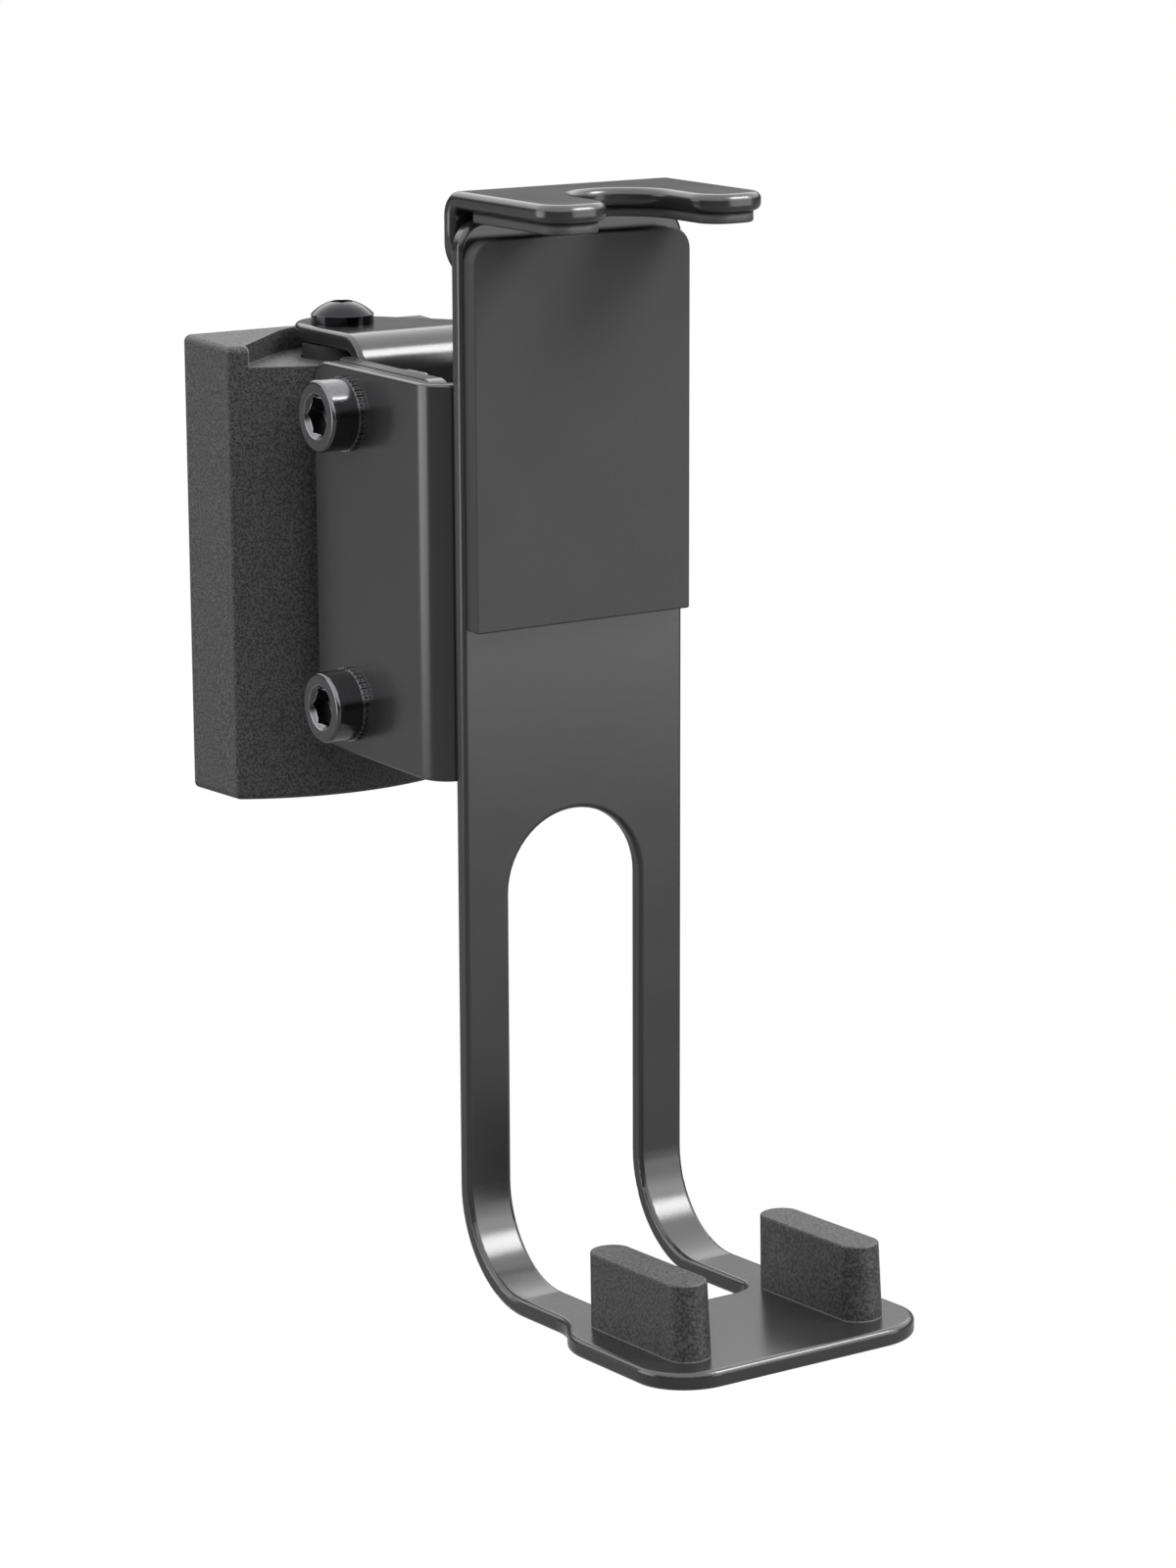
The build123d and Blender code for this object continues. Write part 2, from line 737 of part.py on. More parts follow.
export_step(arm_rivets.part, "parts/arm_rivets.step")


# Back pad: a soft strip glued to the front of the arm, which the loudspeaker leans on
with BuildPart() as back_pad:
    with BuildSketch(arm_face) as back_pad_face:
        with Locations((arm_offset, back_pad_top - back_pad_height / 2)):
            Rectangle(arm_width - 2 * back_pad_inset, back_pad_height)
        fillet(back_pad_face.vertices().group_by(Axis.Y)[-1], radius=back_pad_round)
    extrude(amount=back_pad_thickness)
    fillet(back_pad.faces().sort_by(Axis.Y)[0].edges(), radius=pad_edge_round)
back_pad.part.label = "back_pad"
export_step(back_pad.part, "parts/back_pad.step")


# Hook outline from above: a notched plate that runs back over the top of the arm
notch_half = hook_notch_width / 2
notch_back = hook_front + hook_notch_depth

with BuildSketch(Plane.XY.offset(leg_bottom)) as hook_plan:
    with Locations((arm_offset, (hook_front + leg_back) / 2)):
        Rectangle(hook_width, leg_back - hook_front)
    with Locations((arm_offset, (hook_front + notch_back - notch_half) / 2)):
        Rectangle(hook_notch_width, notch_back - notch_half - hook_front, mode=Mode.SUBTRACT)
    tip_corners = hook_plan.vertices().group_by(Axis.Y)[0].sort_by(Axis.X)
    fillet(tip_corners[1:3], radius=hook_mouth_round)
    tip_corners = hook_plan.vertices().group_by(Axis.Y)[0].sort_by(Axis.X)
    fillet([tip_corners[0], tip_corners[-1]], radius=hook_tip_round)
    with Locations((arm_offset, notch_back - notch_half)):
        Circle(notch_half, mode=Mode.SUBTRACT)


# Top hook: a notched plate folded down behind the arm, with a slot for the height stud
leg_top_half = hook_width / 2
taper_top = hook_under - leg_taper_start
taper_foot = taper_top - leg_taper_height

with BuildPart() as top_hook:
    with BuildSketch(arm_plane):
        with BuildLine():
            FilletPolyline(
                (hook_front, hook_top),
                (leg_back, hook_top),
                (leg_back, leg_bottom),
                radius=hook_bend_radius,
            )
            offset(amount=hook_sheet, side=Side.RIGHT)
        make_face()
    extrude(amount=hook_width / 2, both=True)
    extrude(hook_plan.sketch, amount=hook_top - leg_bottom, mode=Mode.INTERSECT)
    fillet(top_hook.faces().filter_by(Axis.Z).sort_by(SortBy.AREA)[-2:].edges(), hook_edge_round)
    with BuildSketch(Plane.XZ.offset(-leg_back)):
        with BuildLine():
            Polyline(
                (arm_offset - leg_top_half, taper_top),
                (arm_offset - leg_top_half, hook_top),
                (arm_offset + leg_top_half, hook_top),
                (arm_offset + leg_top_half, taper_top),
            )
            TangentArc(
                (arm_offset + leg_top_half, taper_top),
                (arm_offset + leg_width / 2, taper_foot),
                tangent=(0, -1),
            )
            Polyline(
                (arm_offset + leg_width / 2, taper_foot),
                (arm_offset + leg_width / 2, leg_bottom),
                (arm_offset - leg_width / 2, leg_bottom),
                (arm_offset - leg_width / 2, taper_foot),
            )
            TangentArc(
                (arm_offset - leg_top_half, taper_top),
                (arm_offset - leg_width / 2, taper_foot),
                tangent=(0, -1),
            )
        make_face()
    extrude(amount=leg_back - hook_front, mode=Mode.INTERSECT)
    fillet(
        top_hook.edges().filter_by(Axis.Y).group_by(Axis.Z)[0],
        radius=leg_corner_round,
    )
    with BuildSketch(Plane.XZ.offset(-leg_back)):
        with Locations((arm_offset, stud_z - hook_travel / 2)):
            SlotCenterToCenter(hook_travel, leg_slot_width, rotation=90)
    extrude(amount=hook_sheet, mode=Mode.SUBTRACT)
top_hook.part.label = "top_hook"
export_step(top_hook.part, "parts/top_hook.step")


# Hook pad: a soft layer glued under the hook, cut to its outline and a little smaller
pad_back = arm_front - hook_pad_back_gap

with BuildPart() as hook_pad:
    with BuildSketch(Plane.XY.offset(hook_pad_bottom)):
        with Locations((arm_offset, (hook_front + pad_back) / 2)):
            Rectangle(hook_width, pad_back - hook_front)
        add(
            offset(hook_plan.sketch, amount=-hook_pad_inset, mode=Mode.PRIVATE),
            mode=Mode.INTERSECT,
        )
    extrude(amount=hook_pad_thickness)
hook_pad.part.label = "hook_pad"
export_step(hook_pad.part, "parts/hook_pad.step")


# Hook stud: a clinch stud pressed into the arm, flush behind the back pad
with BuildPart() as hook_stud:
    with BuildSketch(arm_face):
        with Locations((arm_offset, stud_z)):
            Circle(stud_head / 2)
    extrude(amount=-stud_head_height)
    with BuildSketch(arm_face):
        with Locations((arm_offset, stud_z)):
            Circle(stud_thread / 2)
    extrude(amount=arm_front - stud_tip_y)
hook_stud.part.label = "hook_stud"
export_step(hook_stud.part, "parts/hook_stud.step")


# Stud washer behind the hook's leg
with BuildPart() as stud_washer:
    with BuildSketch(Plane.XZ.offset(-stud_washer_y)):
        with Locations((arm_offset, stud_z)):
            Circle(stud_washer_diameter / 2)
            Circle(stud_thread / 2 + running, mode=Mode.SUBTRACT)
    extrude(amount=-stud_washer_thickness)
stud_washer.part.label = "stud_washer"
export_step(stud_washer.part, "parts/stud_washer.step")


# Stud nut, which clamps the hook at its height
with BuildPart() as stud_nut:
    with BuildSketch(Plane.XZ.offset(-stud_nut_y)):
        with Locations((arm_offset, stud_z)):
            RegularPolygon(stud_nut_width / 2, 6, major_radius=False)
            Circle(stud_thread / 2 + running, mode=Mode.SUBTRACT)
    extrude(amount=-stud_nut_height)
    chamfer(stud_nut.edges().filter_by(Axis.Y), length=nut_chamfer)
stud_nut.part.label = "stud_nut"
export_step(stud_nut.part, "parts/stud_nut.step")


# Posts: two moulded blocks with round ends, on the shelf on either side of the slot
with BuildPart() as post_left:
    with BuildSketch(shelf_plane):
        with Locations((-post_spacing / 2, -post_middle)):
            SlotOverall(post_length, post_width, rotation=90)
    extrude(amount=post_height, taper=post_draft)
    fillet(post_left.faces().sort_by(Axis.Z)[-1].edges(), radius=post_edge_round)
    with BuildSketch(shelf_plane):
        with Locations((-post_spacing / 2, -post_middle)):
            with GridLocations(0, post_screw_spacing, 1, 2):
                Circle(post_screw_thread / 2 + running)
    extrude(amount=post_screw_depth, mode=Mode.SUBTRACT)
post_left.part.label = "post_left"
export_step(post_left.part, "parts/post_left.step")

with BuildPart() as post_right:
    add(mirror(post_left.part, about=arm_plane, mode=Mode.PRIVATE))
post_right.part.label = "post_right"
export_step(post_right.part, "parts/post_right.step")


# Post screws: countersunk, up from beneath the shelf into the posts
post_screw_cone = (post_screw_head - post_screw_thread) / 2

with BuildPart() as post_screws:
    with Locations(shelf_under):
        with Locations((0, post_middle)):
            with GridLocations(post_spacing, post_screw_spacing, 2, 2):
                Cone(
                    bottom_radius=post_screw_thread / 2,
                    top_radius=post_screw_head / 2,
                    height=post_screw_cone,
                    align=(Align.CENTER, Align.CENTER, Align.MAX),
                )
                Cylinder(
                    radius=post_screw_thread / 2,
                    height=arm_thickness + post_screw_depth - face_gap,
                    align=(Align.CENTER, Align.CENTER, Align.MAX),
                )
    with BuildSketch(shelf_under):
        with Locations((0, post_middle)):
            with GridLocations(post_spacing, post_screw_spacing, 2, 2):
                RegularPolygon(post_screw_socket / 2, 6, major_radius=False)
    extrude(amount=-post_screw_cone, mode=Mode.SUBTRACT)
post_screws.part.label = "post_screws"
export_step(post_screws.part, "parts/post_screws.step")
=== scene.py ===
import math

import bpy
import numpy as np
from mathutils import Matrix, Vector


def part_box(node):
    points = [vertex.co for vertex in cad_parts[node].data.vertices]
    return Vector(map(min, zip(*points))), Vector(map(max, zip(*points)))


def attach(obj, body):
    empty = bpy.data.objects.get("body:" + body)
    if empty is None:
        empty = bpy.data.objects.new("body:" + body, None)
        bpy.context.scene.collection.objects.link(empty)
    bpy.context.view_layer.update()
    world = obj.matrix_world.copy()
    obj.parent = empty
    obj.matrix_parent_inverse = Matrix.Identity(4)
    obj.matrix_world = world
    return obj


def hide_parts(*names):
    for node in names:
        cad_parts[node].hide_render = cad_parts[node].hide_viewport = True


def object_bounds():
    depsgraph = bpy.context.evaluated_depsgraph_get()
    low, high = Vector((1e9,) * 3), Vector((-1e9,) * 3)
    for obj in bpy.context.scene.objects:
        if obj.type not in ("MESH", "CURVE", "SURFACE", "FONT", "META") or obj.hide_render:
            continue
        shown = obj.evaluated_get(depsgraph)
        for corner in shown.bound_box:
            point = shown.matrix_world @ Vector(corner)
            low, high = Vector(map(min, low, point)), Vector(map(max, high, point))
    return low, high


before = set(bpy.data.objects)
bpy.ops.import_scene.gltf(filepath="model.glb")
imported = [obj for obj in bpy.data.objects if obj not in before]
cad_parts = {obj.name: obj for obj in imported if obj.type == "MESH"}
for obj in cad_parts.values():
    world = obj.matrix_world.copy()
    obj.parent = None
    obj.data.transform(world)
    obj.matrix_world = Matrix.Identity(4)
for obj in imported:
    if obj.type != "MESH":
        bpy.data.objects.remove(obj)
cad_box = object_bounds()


# Wall plate, hook stud and its washer and nut: folded sheet steel and turned hardware.
# All are bright zinc plated, a thin silvery layer with a faint cloudy grain, and mostly hidden.
def to_linear(hex_colour):
    """sRGB hex to linear light: c / 12.92 near black, otherwise (c + 0.055) / 1.055 to the power 2.4."""
    srgb = np.array([int(hex_colour[i:i + 2], 16) for i in (1, 3, 5)]) / 255.0
    linear = np.where(srgb <= 0.04045, srgb / 12.92, ((srgb + 0.055) / 1.055) ** 2.4)
    return (*linear.tolist(), 1.0)


def wire(tree, node, inputs):
    """Sets a node's inputs: each one takes a plain value or another node's output."""
    for name, value in inputs.items():
        if isinstance(value, bpy.types.NodeSocket):
            tree.links.new(value, node.inputs[name])
        else:
            node.inputs[name].default_value = value


def add_node(tree, kind, settings=(), inputs=()):
    """Adds one node. Settings are its own properties, and its inputs are wired as above."""
    node = tree.nodes.new(kind)
    for name, value in dict(settings).items():
        setattr(node, name, value)
    wire(tree, node, dict(inputs))
    return node


def start_material(name):
    """An empty node material with its tree, its shader and the object's own coordinates."""
    material = bpy.data.materials.new(name)
    material.use_nodes = True
    tree = material.node_tree
    tree.nodes.clear()
    shader = add_node(tree, "ShaderNodeBsdfPrincipled")
    add_node(tree, "ShaderNodeOutputMaterial", {}, {"Surface": shader.outputs["BSDF"]})
    coords = add_node(tree, "ShaderNodeTexCoord").outputs["Object"]
    return material, tree, shader, coords


def finish_nodes(material, *nodes):
    """Gives each carried-over node the material in all of its slots."""
    for name in nodes:
        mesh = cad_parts[name].data
        mesh.materials.clear()
        mesh.materials.append(material)


# Sockets of a Mix node that are for colours: the two that it mixes, and its result.
mix_from, mix_to, mix_result = 6, 7, 2


def make_zinc_plate(grain, smooth, dull):
    """Bright zinc on steel: metallic, its tone and roughness drifting over a cloudy grain."""
    material, tree, shader, coords = start_material("zinc_plated_steel")
    cloud = add_node(tree, "ShaderNodeTexNoise", {}, {
        "Vector": coords, "Scale": 1 / grain, "Detail": 3.0})
    tone = add_node(tree, "ShaderNodeMix", {"data_type": "RGBA"}, {
        "Factor": cloud.outputs["Fac"], mix_from: to_linear("#a9acb0"), mix_to: to_linear("#c2c4c6")})
    gloss = add_node(tree, "ShaderNodeMapRange", {}, {
        "Value": cloud.outputs["Fac"], "To Min": smooth, "To Max": dull})
    wire(tree, shader, {
        "Base Color": tone.outputs[mix_result], "Roughness": gloss.outputs["Result"], "Metallic": 1.0})
    return material


zinc_plate = make_zinc_plate(grain=0.002, smooth=0.28, dull=0.42)
finish_nodes(zinc_plate, "wall_plate", "hook_stud", "stud_washer", "stud_nut")


# Base cover: one D-shaped shell of black ABS, injection moulded in a spark-eroded mould.
# The eroded steel leaves a fine matt grain, so it scatters light softly and looks dark grey.
edge_samples = 6
flat_match = 0.995
full_highlight_match = 0.8


# Painted highlight: convex edges get a paler colour for the light that they catch.
def painted_edge_highlight(tree, shader, colour_socket, edge_highlight_colour, radius):
    """Painted edge highlight: where the normal rounded over the radius leaves the true one, the colour is
    paler.

    The two normals' dot product is 1 on a flat face and 0.7 on a square edge. Above flat_match the
    colour stays as it is, and below the match for a full highlight it is the highlight colour."""
    rounded = add_node(tree, "ShaderNodeBevel", {"samples": edge_samples}, {"Radius": radius})
    true_normal = add_node(tree, "ShaderNodeNewGeometry").outputs["Normal"]
    match = add_node(tree, "ShaderNodeVectorMath", {"operation": "DOT_PRODUCT"}, {
        0: rounded.outputs["Normal"], 1: true_normal})
    edge_highlight_mask = add_node(tree, "ShaderNodeMapRange", {}, {
        "Value": match.outputs["Value"], "From Min": flat_match, "From Max": full_highlight_match})
    tone = add_node(tree, "ShaderNodeMix", {"data_type": "RGBA"}, {
        "Factor": edge_highlight_mask.outputs["Result"], mix_from: colour_socket, mix_to: to_linear(edge_highlight_colour)})
    wire(tree, shader, {"Base Color": tone.outputs[mix_result]})


moulded_edge = 0.0004
coarse_grain = 3
speck_start, speck_end = 0.4, 0.6


def make_eroded_plastic(name, colour, pale, edge_highlight_colour, grain, depth, roughness):
    """Moulded plastic: a noise of the grain's width and a coarser one add up to the height.

    The first of them also sets the tone, from the colour to the pale one."""
    material, tree, shader, coords = start_material(name)
    fine = add_node(tree, "ShaderNodeTexNoise", {}, {
        "Vector": coords, "Scale": 1 / grain, "Detail": 2.0})
    coarse = add_node(tree, "ShaderNodeTexNoise", {}, {
        "Vector": coords, "Scale": 1 / (coarse_grain * grain), "Detail": 1.0})
    height = add_node(tree, "ShaderNodeMath", {"operation": "ADD"}, {
        0: fine.outputs["Fac"], 1: coarse.outputs["Fac"]})
    bump = add_node(tree, "ShaderNodeBump", {}, {
        "Height": height.outputs[0], "Distance": depth, "Strength": 1.0})
    speck = add_node(tree, "ShaderNodeMapRange", {}, {
        "Value": fine.outputs["Fac"], "From Min": speck_start, "From Max": speck_end})
    tone = add_node(tree, "ShaderNodeMix", {"data_type": "RGBA"}, {
        "Factor": speck.outputs["Result"], mix_from: to_linear(colour), mix_to: to_linear(pale)})
    # Painted highlight: the moulded edges are paler for the light that they catch.
    painted_edge_highlight(tree, shader, tone.outputs[mix_result], edge_highlight_colour, moulded_edge)
    wire(tree, shader, {"Normal": bump.outputs["Normal"], "Roughness": roughness, "IOR": 1.42})
    return material


# Grain of the cover: pits 0.32 mm across, drawn 0.05 mm deep so that they show.
cover_abs = make_eroded_plastic(
    "spark_eroded_abs", colour="#141415", pale="#363637", edge_highlight_colour="#5a5a5c",
    grain=0.00032, depth=0.00005, roughness=0.55)
finish_nodes(cover_abs, "base_cover")


# Pivot collar: a black nylon ring between the lug and the ear; its black also stands in as painted shade
# for the dark gap under the ear.
# It is cut from rod, smooth and slightly waxy.
def make_nylon(ring_radian, ring_depth):
    """Black nylon with faint turning rings: a sine wave up the ring, with this much height to a radian."""
    radians_at_scale_one = 20
    material, tree, shader, coords = start_material("turned_black_nylon_and_shade")
    rings = add_node(tree, "ShaderNodeTexWave", {"bands_direction": "Z"}, {
        "Vector": coords, "Scale": 1 / ring_radian / radians_at_scale_one})
    bump = add_node(tree, "ShaderNodeBump", {}, {"Height": rings.outputs["Fac"], "Distance": ring_depth})
    # Painted shade in part: the ring is as dark as the shadow under the ear.
    wire(tree, shader, {
        "Base Color": to_linear("#1c1c1c"), "Normal": bump.outputs["Normal"],
        "Roughness": 0.45, "IOR": 1.53})
    return material


# 0.3 mm to a radian puts the rings 1.9 mm apart, coarser than a real cut, and 0.01 mm deep.
finish_nodes(make_nylon(ring_radian=0.0003, ring_depth=0.00001), "pivot_collar")


# Pivot screw, tilt bolts with their washers and nuts, and post screws: cold-headed alloy steel.
# Their black oxide is thin and oiled, so the steel still shines through with sharp dark highlights.
metal_edge = 0.0003


def make_black_oxide(name, colour, pale, edge_highlight_colour, roughness):
    """Black oxide on steel: metallic and glossy, with drawing marks about 0.4 mm apart."""
    mark_spacing = 0.0004
    material, tree, shader, coords = start_material(name)
    marks = add_node(tree, "ShaderNodeTexNoise", {}, {
        "Vector": coords, "Scale": 1 / mark_spacing, "Detail": 2.0})
    gloss = add_node(tree, "ShaderNodeMapRange", {}, {
        "Value": marks.outputs["Fac"], "To Min": roughness, "To Max": 2 * roughness})
    tone = add_node(tree, "ShaderNodeMix", {"data_type": "RGBA"}, {
        "Factor": marks.outputs["Fac"], mix_from: to_linear(colour), mix_to: to_linear(pale)})
    # Painted highlight: the edges are paler, near white on the bolts, for the light that they catch.
    painted_edge_highlight(tree, shader, tone.outputs[mix_result], edge_highlight_colour, metal_edge)
    wire(tree, shader, {"Roughness": gloss.outputs["Result"], "Metallic": 1.0})
    return material


black_oxide = make_black_oxide(
    "black_oxide_steel", colour="#4e4e50", pale="#5c5c5e", edge_highlight_colour="#c0c0c2", roughness=0.14)
finish_nodes(black_oxide, "tilt_bolts", "lock_washers", "flat_washers", "tilt_nuts", "post_screws")
# The pivot screw and what closes it are tumbled before blackening, so they are darker and smoother.
pivot_black = make_black_oxide(
    "tumbled_black_oxide", colour="#222223", pale="#28282a", edge_highlight_colour="#505052", roughness=0.08)
finish_nodes(pivot_black, "pivot_screw", "spring_washer", "pivot_nut")


# Yoke, channel, arm, rivets and hook: laser-cut and folded steel sheet, powder coated satin black.
# The powder melts into a smooth skin with a faint orange peel, and its rounded edges are painted paler as
# the highlight they catch.
def make_powder_coat(name, colour, pale, edge_highlight_colour, roughness):
    """Powder coat: peel cells 1.4 mm across and 0.01 mm deep, with tone and gloss drifting over 12 mm."""
    peel_width, peel_depth, drift_width, gloss_spread = 0.0014, 0.00001, 0.012, 0.03
    material, tree, shader, coords = start_material(name)
    peel = add_node(tree, "ShaderNodeTexNoise", {}, {
        "Vector": coords, "Scale": 1 / peel_width, "Detail": 2.0})
    drift = add_node(tree, "ShaderNodeTexNoise", {}, {
        "Vector": coords, "Scale": 1 / drift_width, "Detail": 1.0})
    bump = add_node(tree, "ShaderNodeBump", {}, {
        "Height": peel.outputs["Fac"], "Distance": peel_depth, "Strength": 0.8})
    gloss = add_node(tree, "ShaderNodeMapRange", {}, {
        "Value": drift.outputs["Fac"],
        "To Min": roughness - gloss_spread, "To Max": roughness + gloss_spread})
    tone = add_node(tree, "ShaderNodeMix", {"data_type": "RGBA"}, {
        "Factor": drift.outputs["Fac"], mix_from: to_linear(colour), mix_to: to_linear(pale)})
    # Painted highlight: the edges are paler for the light that they catch.
    painted_edge_highlight(tree, shader, tone.outputs[mix_result], edge_highlight_colour, metal_edge)
    wire(tree, shader, {
        "Normal": bump.outputs["Normal"], "Roughness": gloss.outputs["Result"], "IOR": 1.52})
    return material


powder_coat = make_powder_coat(
    "satin_black_powder_coat", colour="#19191a", pale="#1d1d1e", edge_highlight_colour="#58585a", roughness=0.22)
finish_nodes(powder_coat, "yoke", "channel", "support_arm", "arm_rivets", "top_hook")


# Posts: two black moulded blocks of a tough plastic, screwed to the shelf from below.
# Their mould was spark eroded coarser than the cover's, and their edges are painted paler as a highlight.
post_plastic = make_eroded_plastic(
    "coarse_moulded_plastic", colour="#131314", pale="#303031", edge_highlight_colour="#6a6a6c",
    grain=0.0004, depth=0.00006, roughness=0.5)
finish_nodes(post_plastic, "post_left", "post_right")


# Back pad: a sheet of black closed-cell EVA foam, die cut to the arm's width and glued on.
# The knife leaves square edges that relax a little, and the skin is dry and even.
def round_corners(corners, steps):
    """Closed outline from (x, y, radius) corners: each corner is an arc between its two tangent points."""
    points = []
    count = len(corners)
    for i, (x, y, radius) in enumerate(corners):
        here = np.array([x, y])
        before = np.array(corners[i - 1][:2]) - here
        after = np.array(corners[(i + 1) % count][:2]) - here
        before /= np.linalg.norm(before)
        after /= np.linalg.norm(after)
        half = math.acos(np.clip(before @ after, -1, 1)) / 2
        middle = (before + after) / np.linalg.norm(before + after)
        centre = here + middle * radius / math.sin(half)
        turn = np.linspace(-1, 1, steps) * (math.pi / 2 - half)
        side = np.array([-middle[1], middle[0]])
        if side @ after < 0:
            side = -side
        arc = centre - radius * (np.cos(turn)[:, None] * middle - np.sin(turn)[:, None] * side)
        points.append(arc)
    return np.concatenate(points)


def pad_surface(outline, section):
    """Slab over an outline: ring k is the outline moved inwards by section[k, 0], at height section[k, 1].

    The inward direction at a point is the outline's tangent turned a quarter, averaged over both sides.
    At a corner the move is longer, by one over the cosine of half the turn, up to a limit."""
    least_cosine = 0.3
    ahead = np.roll(outline, -1, axis=0) - outline
    ahead /= np.linalg.norm(ahead, axis=1)[:, None]
    tangent = ahead + np.roll(ahead, 1, axis=0)
    tangent /= np.linalg.norm(tangent, axis=1)[:, None]
    inward = np.stack([-tangent[:, 1], tangent[:, 0]], axis=1)
    beside = np.stack([-ahead[:, 1], ahead[:, 0]], axis=1)
    stretch = 1 / np.clip(np.abs((inward * beside).sum(axis=1)), least_cosine, 1)
    rings = outline[None] + section[:, 0, None, None] * (inward * stretch[:, None])[None]
    heights = np.broadcast_to(section[:, 1, None, None], rings.shape[:2] + (1,))
    return np.concatenate([rings, heights], axis=2)


def ring_faces(rows, columns):
    """Quads between neighbouring rings, closed round the outline, and one face over each end ring."""
    row, column = np.meshgrid(np.arange(rows - 1), np.arange(columns), indexing="ij")
    beside = (column + 1) % columns
    quads = np.stack([row * columns + column, row * columns + beside,
                      (row + 1) * columns + beside, (row + 1) * columns + column], axis=-1)
    ends = [list(range(columns))[::-1], list(range((rows - 1) * columns, rows * columns))]
    return quads.reshape(-1, 4).tolist() + ends


def pad_piece(name, points, faces, material, body):
    """Makes the mesh object, shades its sides smooth and lets it ride on its body."""
    mesh = bpy.data.meshes.new(name)
    mesh.from_pydata(points.reshape(-1, 3).tolist(), [], faces)
    mesh.polygons.foreach_set("use_smooth", [len(face) == 4 for face in faces])
    mesh.materials.append(material)
    mesh.update()
    piece = bpy.data.objects.new(name, mesh)
    bpy.context.scene.collection.objects.link(piece)
    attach(piece, body)
    return piece


relaxed_edge = 0.0003


def cut_section(thickness, tuck):
    """Section of a knife-cut sheet as (inset, height), from its glued face to its skin.

    A straight side, drawn in by the tuck halfway up, then a quarter circle of the relaxed edge's radius."""
    side = thickness - relaxed_edge
    arc_steps = 6
    turn = np.linspace(0, math.pi / 2, arc_steps)
    straight = [[0.0, 0.0]] + ([[tuck, side / 2]] if tuck else [])
    arc = np.stack([relaxed_edge * (1 - np.cos(turn)), side + relaxed_edge * np.sin(turn)], axis=1)
    return np.concatenate([straight, arc])


def make_pad_skin(name, colour, pale, cell, roughness):
    """Foam or rubber skin: cells of the given width in a shallow bump, and a tone drifting over 9 mm."""
    cloud_width, cell_depth = 0.009, 0.00001
    material, tree, shader, coords = start_material(name)
    cells = add_node(tree, "ShaderNodeTexVoronoi", {}, {"Vector": coords, "Scale": 1 / cell})
    cloud = add_node(tree, "ShaderNodeTexNoise", {}, {
        "Vector": coords, "Scale": 1 / cloud_width, "Detail": 2.0})
    bump = add_node(tree, "ShaderNodeBump", {}, {
        "Height": cells.outputs["Distance"], "Distance": cell_depth})
    tone = add_node(tree, "ShaderNodeMix", {"data_type": "RGBA"}, {
        "Factor": cloud.outputs["Fac"], mix_from: to_linear(colour), mix_to: to_linear(pale)})
    wire(tree, shader, {
        "Base Color": tone.outputs[mix_result], "Normal": bump.outputs["Normal"],
        "Roughness": roughness, "IOR": 1.45})
    return material


# Foam cells are 0.15 mm, drawn at 0.3 mm so that they show.
eva_foam = make_pad_skin(
    "closed_cell_eva_foam", colour="#232323", pale="#272727", cell=0.0003, roughness=0.75)
foam_low, foam_high = (np.array(corner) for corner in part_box("back_pad"))
knife_corner = 0.0003
foam_top_corner = 0.003
foam_tuck = 0.00008
foam_outline = round_corners([
    (foam_low[0], foam_low[2], knife_corner), (foam_high[0], foam_low[2], knife_corner),
    (foam_high[0], foam_high[2], foam_top_corner), (foam_low[0], foam_high[2], foam_top_corner)], steps=9)
rings = pad_surface(foam_outline, cut_section(foam_high[1] - foam_low[1], foam_tuck))
foam_points = np.stack([rings[..., 0], foam_high[1] - rings[..., 2], rings[..., 1]], axis=-1)
back_pad = pad_piece("back_pad_foam", foam_points, ring_faces(*rings.shape[:2]), eva_foam, "arm")
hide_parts("back_pad")


# Hook pad: black rubber sheet, cut to the hook's outline a millimetre smaller and glued under it.
# Its cut edge is square and a little shinier than the foam.
pad_rubber = make_pad_skin(
    "die_cut_rubber", colour="#242424", pale="#282828", cell=0.0004, roughness=0.55)
rubber_low, rubber_high = (np.array(corner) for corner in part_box("hook_pad"))
prong_corner = 0.003
notch_mouth_corner = 0.0034
notch_half = 0.008
# A hair less than half the notch, so that the two arcs at its back don't end in one point.
notch_arc = notch_half - 1e-6
notch_depth = 0.0176
notch_back = rubber_low[1] + notch_depth
notch_middle = (rubber_low[0] + rubber_high[0]) / 2
rubber_outline = round_corners([
    (rubber_low[0], rubber_low[1], prong_corner),
    (notch_middle - notch_half, rubber_low[1], notch_mouth_corner),
    (notch_middle - notch_half, notch_back, notch_arc),
    (notch_middle + notch_half, notch_back, notch_arc),
    (notch_middle + notch_half, rubber_low[1], notch_mouth_corner),
    (rubber_high[0], rubber_low[1], prong_corner),
    (rubber_high[0], rubber_high[1], knife_corner),
    (rubber_low[0], rubber_high[1], knife_corner)], steps=13)
rings = pad_surface(rubber_outline, cut_section(rubber_high[2] - rubber_low[2], 0.0))
rubber_points = np.stack([rings[..., 0], rings[..., 1], rubber_high[2] - rings[..., 2]], axis=-1)
hook_pad = pad_piece("hook_pad_rubber", rubber_points, ring_faces(*rings.shape[:2]), pad_rubber, "hook")
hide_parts("hook_pad")


# Studio: a mid-grey floor and a dim room, both plain white to the camera, and three soft lamps.
# The bracket hangs free of the floor, as it does on a wall.
def seen_directly(tree):
    """1 for a ray from the camera or one that came through glass, and 0 for any other."""
    path = add_node(tree, "ShaderNodeLightPath")
    seen = add_node(tree, "ShaderNodeMath", {"operation": "MAXIMUM"}, {
        0: path.outputs["Is Camera Ray"], 1: path.outputs["Is Transmission Ray"]})
    return seen.outputs[0]


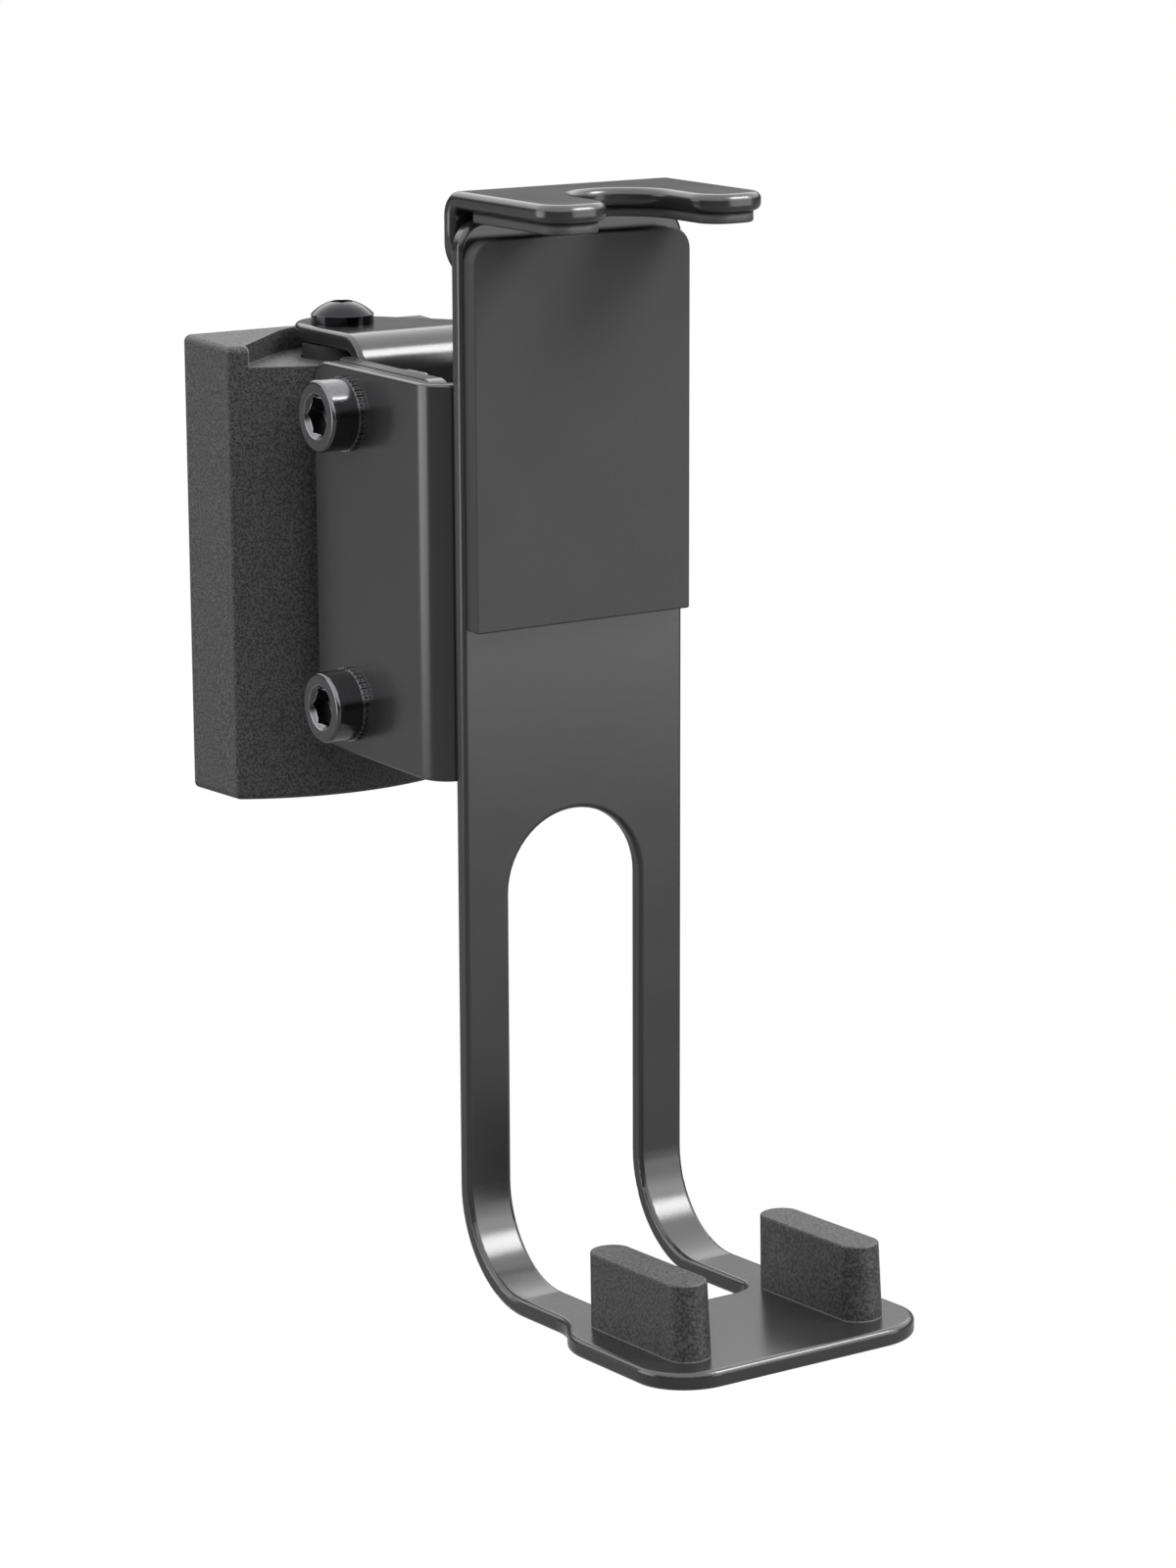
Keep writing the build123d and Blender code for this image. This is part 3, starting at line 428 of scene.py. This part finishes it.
white = (1, 1, 1, 1)
floor_reach = 3.0
floor_drop = 0.12
floor_z = cad_box[0][2] - floor_drop
floor_mesh = bpy.data.meshes.new("studio_floor")
floor_mesh.from_pydata([
    (-floor_reach, -floor_reach, floor_z), (floor_reach, -floor_reach, floor_z),
    (floor_reach, floor_reach, floor_z), (-floor_reach, floor_reach, floor_z)], [], [(0, 1, 2, 3)])
studio_floor = bpy.data.objects.new("studio_floor", floor_mesh)
bpy.context.scene.collection.objects.link(studio_floor)
floor_material, tree, shader, _ = start_material("studio_floor_paint")
wire(tree, shader, {"Base Color": to_linear("#6a6a6a"), "Roughness": 0.9})
glow = add_node(tree, "ShaderNodeEmission", {}, {"Color": white, "Strength": 1.0})
mixed = add_node(tree, "ShaderNodeMixShader", {}, {
    "Fac": seen_directly(tree), 1: shader.outputs["BSDF"], 2: glow.outputs["Emission"]})
floor_output = next(node for node in tree.nodes if node.type == "OUTPUT_MATERIAL")
wire(tree, floor_output, {"Surface": mixed.outputs["Shader"]})
floor_mesh.materials.append(floor_material)

# The room is dim at eye level and brightens between 10 and 24 degrees up to a white ceiling.
# These are the sines of the two angles, and the strengths below and above them.
dim_below, bright_above = 0.18, 0.4
dim_strength, ceiling_strength = 0.08, 2.9
world = bpy.data.worlds.new("studio_surround")
bpy.context.scene.world = world
world.use_nodes = True
tree = world.node_tree
tree.nodes.clear()
direction = add_node(tree, "ShaderNodeTexCoord").outputs["Generated"]
ray = add_node(tree, "ShaderNodeSeparateXYZ", {}, {"Vector": direction})
ceiling = add_node(tree, "ShaderNodeMapRange", {}, {
    "Value": ray.outputs["Z"], "From Min": dim_below, "From Max": bright_above,
    "To Min": dim_strength, "To Max": ceiling_strength})
room = add_node(tree, "ShaderNodeBackground", {}, {"Color": white, "Strength": ceiling.outputs["Result"]})
backdrop = add_node(tree, "ShaderNodeBackground", {}, {"Color": white, "Strength": 1.0})
mixed = add_node(tree, "ShaderNodeMixShader", {}, {
    "Fac": seen_directly(tree), 1: room.outputs["Background"], 2: backdrop.outputs["Background"]})
add_node(tree, "ShaderNodeOutputWorld", {}, {"Surface": mixed.outputs["Shader"]})


def soft_lamp(name, place, aim, width, height, watts):
    """A rectangular soft box: its minus Z axis points from its place to its aim."""
    light = bpy.data.lights.new(name, "AREA")
    light.shape = "RECTANGLE"
    light.size = width
    light.size_y = height
    light.energy = watts
    lamp = bpy.data.objects.new(name, light)
    bpy.context.scene.collection.objects.link(lamp)
    back = np.array(place, float) - np.array(aim, float)
    back /= np.linalg.norm(back)
    lamp.location = place
    lamp.rotation_euler = (math.acos(back[2]), 0.0, math.atan2(back[0], -back[1]))


bracket_middle = (0.008, -0.06, -0.02)
soft_lamp("lamp_left", (-0.9, 0.42, -0.05), bracket_middle, width=0.7, height=0.7, watts=5.5)
soft_lamp("lamp_right", (0.5, -0.85, 0.05), bracket_middle, width=0.7, height=0.8, watts=4.8)
soft_lamp("lamp_above", (0.5, -0.62, 0.72), bracket_middle, width=0.4, height=0.4, watts=10.0)


# Camera: the photograph's view, from the left front and a little above, through a long lens.
# Place, turn and lens come from the camera that fits the bracket's straight edges.
lens_pixels = 4515.0
frame_height = 1600.0
camera_data = bpy.data.cameras.new("photo_camera")
camera_data.sensor_fit = "VERTICAL"
camera_data.sensor_height = 36.0
camera_data.lens = lens_pixels / frame_height * camera_data.sensor_height
camera_data.clip_start = 0.01
camera = bpy.data.objects.new("photo_camera", camera_data)
camera.location = (-0.31235, -0.55956, 0.1158)
camera.rotation_euler = (math.radians(76.7), math.radians(0.195), math.radians(-32.846))
bpy.context.scene.collection.objects.link(camera)
bpy.context.scene.camera = camera
bpy.context.scene.view_settings.view_transform = "Standard"
